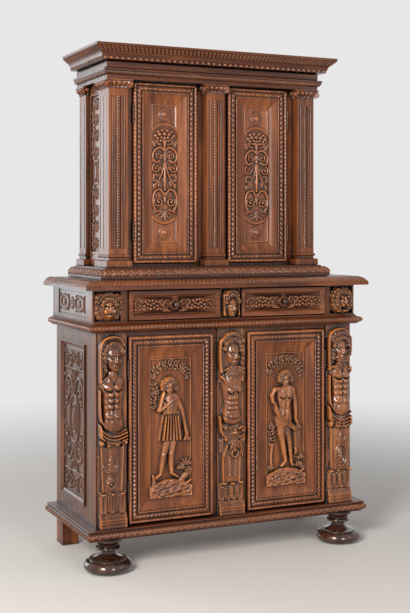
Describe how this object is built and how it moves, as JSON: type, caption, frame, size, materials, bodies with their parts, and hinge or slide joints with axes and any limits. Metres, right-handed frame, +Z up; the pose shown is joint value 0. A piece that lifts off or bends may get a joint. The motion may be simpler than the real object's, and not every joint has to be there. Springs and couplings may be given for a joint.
{
  "type": "buffet cabinet",
  "caption": "Two-storey carved wooden buffet cabinet with stepped-back upper cupboard, drawer tier, figure terms, bun feet, hinged doors and sliding drawers.",
  "frame": {"origin": "centre of the footprint of the whole cabinet, on the floor", "axes": "+X to the viewer's right along the front, +Y towards the wall, +Z up"},
  "size_m": [1.26, 0.5836, 2.057],
  "materials": {
    "frame_walnut": "waxed reddish walnut, satin",
    "carved_walnut": "waxed carved walnut with dark hollows",
    "panel_walnut": "waxed walnut panel, satin",
    "turned_walnut": "dark polished turned walnut",
    "inner_boards": "plain dry inner boards",
    "iron": "dark aged iron"
  },
  "bodies": {
    "case": {"base_moulding": "carved_walnut", "floor_boards": "inner_boards", "lower_face_frame": "frame_walnut", "lower_side_frames": "frame_walnut", "lower_side_mouldings": "carved_walnut", "lower_side_panels": "panel_walnut", "herm_left": "carved_walnut", "herm_centre": "carved_walnut", "herm_right": "carved_walnut", "waist_moulding": "carved_walnut", "dust_board": "inner_boards", "bun_foot_left": "turned_walnut", "bun_foot_right": "turned_walnut", "rear_block_feet": "frame_walnut", "drawer_posts": "frame_walnut", "drawer_bay_sides": "frame_walnut", "drawer_runners": "inner_boards", "mask_left": "carved_walnut", "mask_centre": "carved_walnut", "mask_right": "carved_walnut", "table_top": "carved_walnut", "upper_base_moulding": "carved_walnut", "upper_face_frame": "frame_walnut", "upper_side_frames": "frame_walnut", "upper_side_panels": "panel_walnut", "front_pilaster_shafts": "carved_walnut", "side_pilaster_shafts": "carved_walnut", "pilaster_pedestals": "carved_walnut", "pilaster_capitals": "carved_walnut", "back_boards": "inner_boards", "shelves": "inner_boards", "shelf_cleats": "inner_boards", "top_boards": "inner_boards", "architrave": "carved_walnut", "frieze": "frame_walnut", "cornice": "carved_walnut", "hinge_case_leaves": "iron", "hinge_pins": "iron"},
    "lower_left_door": {"lower_left_door_frame": "frame_walnut", "lower_left_door_moulding": "carved_walnut", "lower_left_door_panel": "panel_walnut", "lower_left_door_leaves": "iron"},
    "lower_right_door": {"lower_right_door_frame": "frame_walnut", "lower_right_door_moulding": "carved_walnut", "lower_right_door_panel": "panel_walnut", "lower_right_door_leaves": "iron"},
    "upper_left_door": {"upper_left_door_frame": "frame_walnut", "upper_left_door_moulding": "carved_walnut", "upper_left_door_panel": "panel_walnut", "upper_left_door_leaves": "iron"},
    "upper_right_door": {"upper_right_door_frame": "frame_walnut", "upper_right_door_moulding": "carved_walnut", "upper_right_door_panel": "panel_walnut", "upper_right_door_leaves": "iron"},
    "left_drawer": {"left_drawer_front": "frame_walnut", "left_drawer_box": "inner_boards", "left_drawer_knob": "turned_walnut"},
    "right_drawer": {"right_drawer_front": "frame_walnut", "right_drawer_box": "inner_boards", "right_drawer_knob": "turned_walnut"}
  },
  "joints": [
    {"name": "lower_left_door_hinge", "type": "hinge", "parent": "case", "child": "lower_left_door", "pos_m": [-0.4425, -0.21975, 0.537], "axis": [0, 0, -1], "range_deg": [0, 90]},
    {"name": "lower_right_door_hinge", "type": "hinge", "parent": "case", "child": "lower_right_door", "pos_m": [0.4425, -0.21975, 0.537], "axis": [0, 0, 1], "range_deg": [0, 90]},
    {"name": "upper_left_door_hinge", "type": "hinge", "parent": "case", "child": "upper_left_door", "pos_m": [-0.355, -0.04975, 1.542], "axis": [0, 0, -1], "range_deg": [0, 95]},
    {"name": "upper_right_door_hinge", "type": "hinge", "parent": "case", "child": "upper_right_door", "pos_m": [0.355, -0.04975, 1.542], "axis": [0, 0, 1], "range_deg": [0, 95]},
    {"name": "left_drawer_slide", "type": "slide", "parent": "case", "child": "left_drawer", "axis": [0, -1, 0], "range_m": [0, 0.3]},
    {"name": "right_drawer_slide", "type": "slide", "parent": "case", "child": "right_drawer", "axis": [0, -1, 0], "range_m": [0, 0.3]}
  ]
}
